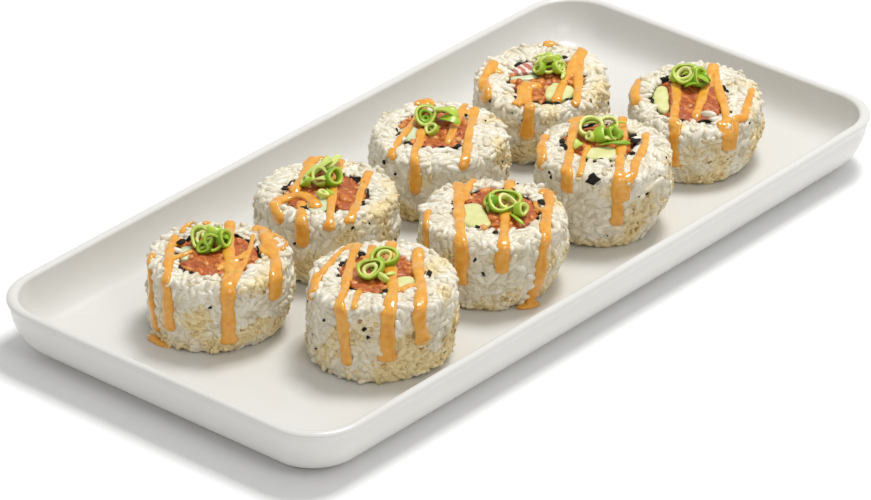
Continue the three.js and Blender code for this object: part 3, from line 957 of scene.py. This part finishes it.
def runWay(slice, across, along, crossing, stop, drop, rng):
    radius = slice.radius / mm
    cross, rest = math.radians(crossing), math.radians(stop)
    start = np.array([across, along], float)
    rim = np.array([math.sin(cross), -math.cos(cross)]) * radius
    end = np.array([math.sin(rest), -math.cos(rest)]) * (radius + drop)
    stray = np.array([rim[1] - start[1], start[0] - rim[0]]) / max(1, np.linalg.norm(rim - start))
    first, second = rng.uniform(-1, 1) * sauceShape["wander"], rng.uniform(-1, 1) * sauceShape["wander"]
    way = [start, start * 0.67 + rim * 0.33 + stray * first, start * 0.33 + rim * 0.67 + stray * second]
    return way + ([rim, end] if drop > 0 else [rim])


def linkWay(fromAcross, fromAlong, toAcross, toAlong, rng):
    start, end = np.array([fromAcross, fromAlong], float), np.array([toAcross, toAlong], float)
    stray = np.array([end[1] - start[1], start[0] - end[0]]) / max(1, np.linalg.norm(end - start))
    return [start, (start + end) / 2 + stray * rng.uniform(-1, 1) * sauceShape["wander"], end]


def curlWay(across, along, halfAcross, halfAlong, first, turn):
    angles = [math.radians(first + turn * step / 6) for step in range(7)]
    return [(across + halfAcross * math.cos(angle), along + halfAlong * math.sin(angle)) for angle in angles]


def addStrand(heap, slice, way, width, rng):
    line = evenLine(smoothLine(way, 8), 0.9)
    starts, facings, gaps = [], [], []
    for i, (across, along) in enumerate(line):
        ahead = line[min(i + 1, len(line) - 1)] - line[max(i - 1, 0)]
        ahead = ahead / np.linalg.norm(ahead) * width * 0.3
        start, facing = slice.above(across, along)
        found = []
        for shift in (-1, 0, 1):  # the highest of three places across the strand
            near, look = slice.above(across - ahead[1] * shift, along + ahead[0] * shift)
            hit = slice.dressed.ray_cast(near, -look, 0.02)[3]
            found.append(hit if hit else 0.012)
        starts.append(start)
        facings.append(facing)
        gaps.append(min(found))
    gaps = np.array(gaps)
    for _ in range(6):  # evens out the steps between rice, nori and fillings
        gaps[1:-1] = (gaps[:-2] + 2 * gaps[1:-1] + gaps[2:]) / 4
    around, count = 12, len(line)
    ways = np.hypot(line[:, 0], line[:, 1]) * mm - slice.radius
    widths = width * (0.76 + 0.24 * np.clip((ways / mm + 4) / 7, 0, 1))  # fuller down the side
    centres = [Vector(s) - f * (g - sauceShape["lift"] * mm) for s, f, g in zip(starts, facings, gaps)]
    phase = rng.uniform(0, 10)
    verts = []
    for i in range(count):
        normal = facings[i]
        ahead = (centres[min(i + 1, count - 1)] - centres[max(i - 1, 0)]).normalized()
        side = ahead.cross(normal).normalized()
        share = i / (count - 1)
        end = min(1, i / 2.2, (count - 1 - i) / 2.2)
        swell = 1 + 0.12 * math.sin(i * 0.23 + phase) + 0.08 * math.sin(i * 0.61 + 2 * phase)
        drop = 1 + 0.14 * math.exp(-((1 - share) * count / 3.5) ** 2)  # the drip's rounded end
        half = (widths[i] / 2 * swell * drop + 0.15) * math.sqrt(max(0.02, 1 - (1 - end) ** 2)) * mm
        tall = max(0.85 * mm, half * 2 * sauceShape["thickness"]) * math.sqrt(max(0.05, 1 - (1 - end) ** 2))
        for j in range(around):
            angle = 2 * math.pi * j / around
            flat, high = math.cos(angle), math.sin(angle)
            out = math.copysign(abs(flat) ** 0.8, flat)
            rise = math.copysign(abs(high) ** 0.9, high)
            verts.append(centres[i] + side * (half * out) + normal * (tall * rise))
    verts.append(centres[0])
    verts.append(centres[-1])
    faces = [tuple(reversed(face)) for face in gridFaces(count, around)]
    faces += [(len(verts) - 2, j, (j + 1) % around) for j in range(around)]
    last = (count - 1) * around
    faces += [(len(verts) - 1, last + (j + 1) % around, last + j) for j in range(around)]
    heap.add(verts, faces)


def addPool(heap, slice, across, along, length, width, turn):
    verts, faces = bitShapes[0]
    spot = slice.place(across, along, plateFloor + 0.35 * mm)
    ahead = acrossAxis * math.cos(math.radians(turn)) + alongAxis * math.sin(math.radians(turn))
    heap.add(lay(verts * np.array([length, width, 2.2]) * mm, spot, ahead, upAxis), faces)


def buildSauce(slice, material):
    rng = random.Random(500 + slice.seed)
    heap = Heap()
    for *course, width in sauceShape["runs"][slice.name]:
        addStrand(heap, slice, runWay(slice, *course, rng), width, rng)
    for *course, width in sauceShape["links"].get(slice.name, []):
        addStrand(heap, slice, linkWay(*course, rng), width, rng)
    for *course, width in sauceShape["curls"].get(slice.name, []):
        addStrand(heap, slice, curlWay(*course), width, rng)
    for pool in sauceShape["pools"].get(slice.name, []):
        addPool(heap, slice, *pool)
    sauce = heap.piece(slice.name + "Sauce", material, None)
    remeshed(sauce, sauceShape["voxel"], 2)
    points = pointsOf(sauce)
    liftOffFloor(points)
    setPoints(sauce, points)
    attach(sauce, "root")
    print(slice.name, "sauce:", len(sauce.data.polygons), "faces")


# Scallion.

# Each ring: across, along, lift, radius, length, lean in degrees, the way it leans, tone.
scallionShape = {
    "wall": 1.05,
    "columns": 20,
    "rings": {
        "roll1": [(-5.8, 5.0, 0.8, 4.2, 2.6, 38, 250, 0.5), (-5.6, 4.8, 1.2, 2.5, 2.4, 38, 250, 0.85),
                  (-1.5, 7.5, 2.0, 3.6, 2.6, 38, 60, 0.6), (-2.2, 2.4, 0.8, 3.3, 2.4, 55, 275, 0.3),
                  (1.6, 4.2, 1.2, 3.2, 2.6, 60, 330, 0.35), (-3.2, 5.8, 3.0, 2.9, 2.0, 22, 240, 0.65),
                  (-5.2, 0.6, 0.3, 2.4, 2.0, 50, 240, 0.15), (0.6, 7.6, 1.2, 2.8, 2.4, 60, 20, 0.4)],
        "roll2": [(-2.5, 3.5, 0.8, 3.6, 2.6, 35, 240, 0.55), (1.8, 2.6, 1.0, 3.4, 3.0, 50, 320, 0.3),
                  (-7.6, 1.5, 0.6, 2.4, 2.2, 55, 180, 0.5), (-1.8, -6.5, 0.4, 2.0, 1.8, 30, 0, 0.85)],
        "roll3": [(-4.4, 5.2, 1.2, 4.1, 2.8, 42, 265, 0.5), (-4.4, 5.0, 1.2, 2.7, 2.6, 42, 265, 0.1),
                  (-4.4, 4.8, 0.8, 1.5, 2.4, 42, 265, 0.0),
                  (-2.4, -2.4, 0.4, 2.6, 2.0, 40, 210, 0.6)],
        "roll4": [(0.2, 4.6, 1.6, 3.2, 2.4, 40, 160, 0.55), (3.6, 5.2, 1.6, 3.0, 2.4, 45, 60, 0.6),
                  (1.8, 1.4, 1.4, 3.3, 2.6, 50, 280, 0.5), (5.6, 1.2, 1.0, 2.8, 2.2, 55, 340, 0.55),
                  (2.4, 3.8, 3.2, 2.6, 2.2, 30, 100, 0.7), (-1.2, 0.8, 0.9, 2.6, 2.2, 55, 200, 0.45),
                  (6.4, 4.6, 0.8, 2.2, 2.0, 50, 30, 0.6)],
        "roll5": [(0.8, 6.2, 1.2, 4.4, 2.6, 32, 260, 0.4), (0.8, 6.2, 1.3, 2.9, 2.4, 32, 260, 0.7),
                  (-3.8, -1.6, 1.0, 4.2, 2.6, 38, 250, 0.42), (-3.8, -1.6, 1.0, 2.6, 2.4, 38, 250, 0.8),
                  (-1.2, 2.4, 0.9, 2.4, 2.4, 60, 180, 0.5), (0.4, -4.6, 0.4, 1.9, 1.8, 40, 20, 0.75)],
        "roll6": [(3.6, 0.6, 1.2, 5.3, 2.6, 30, 280, 0.42), (4.6, 0.2, 1.0, 3.4, 2.2, 26, 300, 0.8),
                  (-0.9, 1.4, 1.0, 2.6, 3.0, 58, 190, 0.3), (9.2, -4.0, 0.8, 2.4, 3.4, 62, 320, 0.55),
                  (5.6, 4.2, 1.0, 2.4, 2.4, 50, 90, 0.5)],
        "roll7": [(-4.3, 8.2, 1.0, 4.3, 2.6, 30, 265, 0.72), (1.9, 8.8, 1.0, 3.9, 2.4, 30, 275, 0.62),
                  (-1.0, 3.4, 0.7, 2.6, 3.4, 70, 350, 0.5), (2.6, 3.8, 0.6, 2.4, 2.6, 60, 330, 0.4),
                  (4.6, 5.6, 0.8, 2.4, 2.4, 55, 10, 0.45), (-4.4, 3.2, 0.5, 2.0, 2.4, 60, 200, 0.7)],
        "roll8": [(-3.8, 7.6, 1.6, 4.3, 3.0, 42, 250, 0.45), (-3.9, 7.6, 1.8, 2.8, 2.8, 42, 250, 0.85),
                  (1.0, 6.6, 1.2, 3.3, 3.0, 58, 320, 0.35), (3.0, 7.4, 0.8, 2.5, 2.6, 60, 20, 0.3),
                  (-7.2, 9.0, 0.7, 2.3, 2.4, 55, 160, 0.6), (-0.8, 9.0, 2.2, 2.8, 2.4, 35, 90, 0.55)],
    },
}


# Each shred: across, along, lift, length, width, turn in degrees, arch, tone.
shreds = {
    "roll1": [(-4.6, 8.6, 3.4, 7, 2.2, 20, 1.6, 0.75), (0.4, 5.6, 3.2, 6, 2.4, -35, 1.4, 0.45)],
    "roll2": [(-1.0, 10, 2.6, 13, 3.8, 62, 1.6, 0.75), (2.4, 13, 2.6, 11, 3.0, 66, 1.2, 0.85),
              (-5.0, 8.4, 2.0, 9, 3.0, 55, 1.4, 0.7), (-2.6, 0.6, 2.2, 9, 2.8, 12, 1.4, 0.85),
              (0.4, -4.2, 0.6, 5, 2.2, -70, 0.8, 0.5)],
    "roll3": [(2.0, 6.4, 2.2, 10, 5.6, 350, 1.8, 0.62), (3.4, 3.0, 1.8, 9, 3.4, 335, 1.4, 0.5),
              (2.6, 9.4, 1.8, 8, 3.0, 10, 1.4, 0.7), (-1.6, -1.6, 1.0, 4, 3.2, 280, 0.8, 0.5)],
    "roll4": [(0.0, 8.4, 2.2, 8, 1.6, 25, 1.4, 0.85), (2.8, 6.6, 3.0, 8, 1.7, 75, 1.4, 0.6),
              (1.0, 3.4, 2.8, 8, 1.6, 40, 1.6, 0.75), (5.2, 3.6, 2.2, 8, 1.7, 110, 1.2, 0.65),
              (3.2, 0.6, 2.0, 8, 1.8, 10, 1.2, 0.3), (6.8, 2.0, 1.4, 7, 1.6, 60, 1.0, 0.8),
              (-1.6, 4.0, 1.4, 7, 1.7, 100, 1.2, 0.5), (2.0, 9.6, 1.8, 6, 1.5, 150, 1.0, 0.7),
              (7.4, -0.6, 0.8, 6, 1.6, 85, 0.8, 0.85), (4.6, 8.6, 1.6, 6, 1.6, 20, 1.2, 0.55)],
    "roll5": [(-1.6, 1.4, 1.6, 6, 1.8, 60, 1.2, 0.35), (2.6, -2.4, 0.8, 5, 1.6, 20, 0.8, 0.8)],
    "roll6": [(7.2, -7.6, 0.8, 9, 1.6, 300, 1.0, 0.5), (4.4, 1.0, 0.9, 4, 1.0, 60, 0.5, 0.9),
              (-1.6, -0.4, 1.2, 5, 2.0, 95, 1.2, 0.3)],
    "roll7": [(-3.4, 10.6, 1.6, 9, 3.4, 12, 1.6, 0.78), (3.8, -1.2, 0.9, 11, 2.0, 6, 1.0, 0.35),
              (6.0, 4.0, 1.6, 6, 2.2, 80, 1.2, 0.4), (5.2, 11.6, 1.4, 7, 0.8, 15, 1.6, 0.7),
              (-8.6, -1.8, 0.6, 5, 3.6, 70, 0.8, 0.72), (0.0, 1.6, 1.2, 9, 2.0, 0, 1.2, 0.8)],
    "roll8": [(-6.0, 10.2, 2.0, 8, 2.2, 40, 2.0, 0.85), (1.2, 5.0, 2.8, 7, 2.8, 330, 1.6, 0.5),
              (-0.6, 3.0, 1.8, 7, 2.6, 10, 1.4, 0.35), (3.6, 5.4, 1.4, 6, 2.4, 60, 1.2, 0.25),
              (-2.0, 8.4, 3.4, 6, 2.4, 20, 1.2, 0.65)],
}


def addShred(heap, slice, across, along, lift, length, width, turn, arch, tone):
    rows, around = 9, 8
    angle = math.radians(turn)
    ahead = acrossAxis * math.cos(angle) + alongAxis * math.sin(angle)
    ground = slice.dressed.ray_cast(slice.place(across, along, slice.top + 0.02), -upAxis)[0]
    ground = ground if ground else slice.topAt(across, along)
    verts, shades = [], []
    for i in range(rows):
        t = 2 * i / (rows - 1) - 1
        slim = math.sqrt(max(0.05, 1 - abs(t) ** 5))
        twist = 0.45 * t + 0.3 * math.sin(turn + 2 * t)
        middle = Vector((t * length / 2, 0.08 * length * t * t, arch * (1 - t * t) + lift))
        for j in range(around):
            spin = 2 * math.pi * j / around
            flat, thick = width / 2 * slim * math.cos(spin), 0.38 * slim * math.sin(spin)
            curl = 0.16 * flat * flat
            place = middle + Vector((0, flat * math.cos(twist) - thick * math.sin(twist),
                                     flat * math.sin(twist) + thick * math.cos(twist) + curl))
            verts.append(place)
            shades.append(min(1, tone + (0.25 if math.sin(spin) < -0.5 else 0.1 * math.cos(spin))))
    faces = [tuple(reversed(face)) for face in gridFaces(rows, around)]
    faces.append(tuple(range(around)))
    faces.append(tuple(reversed(range((rows - 1) * around, rows * around))))
    heap.add(lay(np.array(verts) * mm, ground, ahead, upAxis), faces, np.array(shades))


def addRing(heap, slice, rng, across, along, lift, radius, length, lean, way, tone):
    columns, wall = scallionShape["columns"], scallionShape["wall"]
    half = length / 2
    section = [(radius - wall, -half), (radius - wall * 0.3, -half - 0.12), (radius, -half + 0.15),
               (radius + 0.05, 0), (radius, half - 0.15), (radius - wall * 0.3, half + 0.12),
               (radius - wall, half), (radius - wall * 1.05, 0)]
    tones = [min(1, tone + 0.35), min(1, tone + 0.25), tone, tone * 0.85, tone, min(1, tone + 0.25),
             min(1, tone + 0.35), min(1, tone + 0.15)]
    oval, wave, turn = rng.uniform(0.06, 0.16), rng.uniform(0.03, 0.07), rng.uniform(0, 6.28)
    verts, shades = [], []
    for (reach, level), shade in zip(section, tones):
        for j in range(columns):
            angle = 2 * math.pi * j / columns
            grow = 1 + oval * math.cos(2 * (angle - turn)) + wave * math.cos(3 * angle + turn)
            skew = 1 + 0.10 * level / max(half, 1) * math.cos(angle + turn)
            verts.append((reach * grow * skew * math.cos(angle), reach * grow * math.sin(angle), level))
            shades.append(shade)
    faces = gridFaces(len(section), columns, closedRows=True)
    wayAngle = math.radians(way)
    towards = acrossAxis * math.cos(wayAngle) + alongAxis * math.sin(wayAngle)
    axis = (upAxis * math.cos(math.radians(lean)) + towards * math.sin(math.radians(lean))).normalized()
    ground = slice.topAt(across, along)
    drop = radius * math.sin(math.radians(lean)) + half * math.cos(math.radians(lean))
    spot = ground + upAxis * ((drop * 0.62 + lift) * mm)
    start = (towards - axis * towards.dot(axis))
    start = start if start.length > 0.01 else acrossAxis
    heap.add(lay(np.array(verts) * mm, spot, start.normalized(), axis), faces, np.array(shades))


def buildScallion(slice, material):
    rng = random.Random(700 + slice.seed)
    heap = Heap()
    for ring in scallionShape["rings"][slice.name]:
        addRing(heap, slice, rng, *ring)
    for shred in shreds[slice.name]:
        addShred(heap, slice, *shred)
    scallion = heap.piece(slice.name + "Scallion", material, "scallion")
    points = pointsOf(scallion)
    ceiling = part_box(slice.name + "_scallion")[1].z
    over = points[:, 2] > ceiling
    points[over, 2] = ceiling + (points[over, 2] - ceiling) * 0.3
    setPoints(scallion, points)
    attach(scallion, "root")
    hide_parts(slice.name + "_scallion")


# Sesame and nori crumbs.

seedShape = {"length": (2.0, 3.0), "width": (1.3, 1.8), "thickness": (0.8, 1.1), "perSlice": 260}


def seedForm():  # a flat drop, pointed at one end
    stations = [-0.85, -0.2, 0.45, 0.88]
    reach = [0.33, 0.5, 0.42, 0.16]
    around = 5
    verts = [(-0.5, 0, 0)]
    for s, r in zip(stations, reach):
        for j in range(around):
            angle = 2 * math.pi * j / around
            verts.append((s / 2, r * math.cos(angle), r * math.sin(angle)))
    verts.append((0.5, 0, 0))
    return np.array(verts), podFaces(len(stations), around)


def buildSeeds():
    heap = Heap()
    form, faces = seedForm()
    for slice in slices:
        rng = random.Random(900 + slice.seed)
        samples = surfaceSamples(slice.name + "_rice", rng, 0.8, lambda p, n: abs(n.z) < 0.9
                                 and (p - slice.centre).xy.length > slice.radius - 2.5 * mm)
        placed = 0
        for point, normal in spacedOut(samples, 1.5):
            if seedPatchAndLowShade(slice, point) < rng.uniform(-0.05, 0.45) or placed >= seedShape["perSlice"]:
                continue
            placed += 1
            size = np.array([rng.uniform(*seedShape["length"]), rng.uniform(*seedShape["width"]),
                             rng.uniform(*seedShape["thickness"])]) * mm
            lean = (normal + Vector((rng.gauss(0, 0.2), rng.gauss(0, 0.2), rng.gauss(0, 0.2)))).normalized()
            spot = point + normal * ((sliceSwell(point, slice) * 0.8 + rng.uniform(-0.35, 0.25)) * mm)
            tone = 0.1 if rng.random() < 0.04 else min(1, max(0.25, rng.gauss(0.75, 0.2)))
            heap.add(lay(form * size, spot, tangentOf(lean, rng), lean), faces, tone)
    seeds = heap.piece("sesameSeeds", sesameLook(), None)
    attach(seeds, "root")
    print("seeds:", len(seeds.data.polygons), "faces")


noriBits = {
    "thickness": 0.4,
    "torn": 9, "tornSize": (1.6, 3.4), "tornReach": (-0.8, 1.8),  # bits along the loop's edge
    "fallen": 3, "fallenSize": (1.0, 2.0), "fallenDrop": (2, 12),  # bits down the side
    "flaps": {"roll7": [(-5, -24, 7, 6), (11, 4, 5, 9)]},  # across, along, and their size both ways
}


def flakeShape(rng):  # a thin torn flake, one unit across, a little bent
    corners, rows = 9, []
    reach = [0.5 * rng.uniform(0.45, 1.0) for _ in range(corners)]
    bend = rng.uniform(-0.5, 0.5)
    for share, level in ((0.96, -0.5), (1.0, 0.0), (0.9, 0.5), (0.4, 0.55)):
        for j in range(corners):
            angle = 2 * math.pi * j / corners
            x, y = share * reach[j] * math.cos(angle), share * reach[j] * math.sin(angle)
            rows.append((x, y, level + bend * (x * x - y * y) * 4))
    faces = gridFaces(4, corners)
    faces.append(tuple(reversed(range(corners))))
    faces.append(tuple(range(3 * corners, 4 * corners)))
    return np.array(rows), faces


def addFlake(heap, slice, rng, start, facing, ahead, length, width):
    hit = slice.dressed.ray_cast(start, -facing, 0.03)[0]
    if hit is None:
        return
    verts, faces = flakeShape(rng)
    size = np.array([length, width, noriBits["thickness"]]) * mm
    heap.add(lay(verts * size, hit + facing * 0.25 * mm, ahead, facing), faces)


def addNoriBits(heap, slice):
    rng = random.Random(1300 + slice.seed)
    centre, reach = loopOutline(slice)
    for _ in range(noriBits["torn"]):
        column = rng.randrange(len(reach))
        angle = 2 * math.pi * column / len(reach)
        outward = Vector((math.cos(angle), math.sin(angle), 0))
        spot = centre + outward * (reach[column] + rng.uniform(*noriBits["tornReach"]) * mm)
        start = Vector((spot.x, spot.y, slice.top + 0.01))
        size = rng.uniform(*noriBits["tornSize"])
        addFlake(heap, slice, rng, start, upAxis, outward.cross(upAxis), size * rng.uniform(1.2, 2.2), size)
    for _ in range(noriBits["fallen"]):
        turn = math.radians(rng.uniform(-60, 60))
        way = slice.radius / mm + rng.uniform(*noriBits["fallenDrop"])
        start, facing = slice.above(way * math.sin(turn), -way * math.cos(turn))
        size = rng.uniform(*noriBits["fallenSize"])
        addFlake(heap, slice, rng, start, facing, tangentOf(facing, rng), size * 1.4, size)
    for across, along, length, width in noriBits["flaps"].get(slice.name, []):
        start, facing = slice.above(across, along)
        side = (acrossAxis - facing * acrossAxis.dot(facing)).normalized()
        addFlake(heap, slice, rng, start, facing, side, length, width)


def buildCrumbs(material):
    heap = Heap()
    for slice in slices:
        rng = random.Random(1100 + slice.seed)
        loop = Vector([(a + b) / 2 for a, b in zip(*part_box(slice.name + "_nori"))])
        reach = (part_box(slice.name + "_nori")[1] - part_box(slice.name + "_nori")[0]).xy.length / 2 / math.sqrt(2)
        addNoriBits(heap, slice)
        samples = surfaceSamples(slice.name + "_rice", rng, 0.05, lambda p, n: n.z > -0.5
                                 and (p - loop).xy.length > reach + 3 * mm)
        spots = [(p, n, rng.uniform(0.5, 1.0)) for p, n in samples[:14]]
        for point, normal, size in spots:
            verts, faces = flakeShape(rng)
            scale = np.array([size * rng.uniform(1, 1.6), size, 0.35]) * mm
            heap.add(lay(verts * scale, point - normal * 0.1 * mm, tangentOf(normal, rng), normal), faces)
    crumbs = heap.piece("noriCrumbs", material, "nori")
    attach(crumbs, "root")


# Everything.

buildStudio()
buildPlate()
riceMaterial, noriMaterial, tunaMaterial = riceLook(), noriLook(), tunaLook()
stickMaterials = {"avocado": avocadoLook(), "cucumber": cucumberLook(), "fish": fishLook()}
sauceMaterial, scallionMaterial = sauceLook(), scallionLook()
for slice in slices:
    buildRice(slice, riceMaterial)
    buildNori(slice, noriMaterial)
    buildTuna(slice, tunaMaterial)
    for kind, material in stickMaterials.items():
        if slice.name + "_" + kind in cadNodes:
            buildStick(slice, kind, material)
    buildSauce(slice, sauceMaterial)
    buildScallion(slice, scallionMaterial)
buildSeeds()
buildCrumbs(noriMaterial)
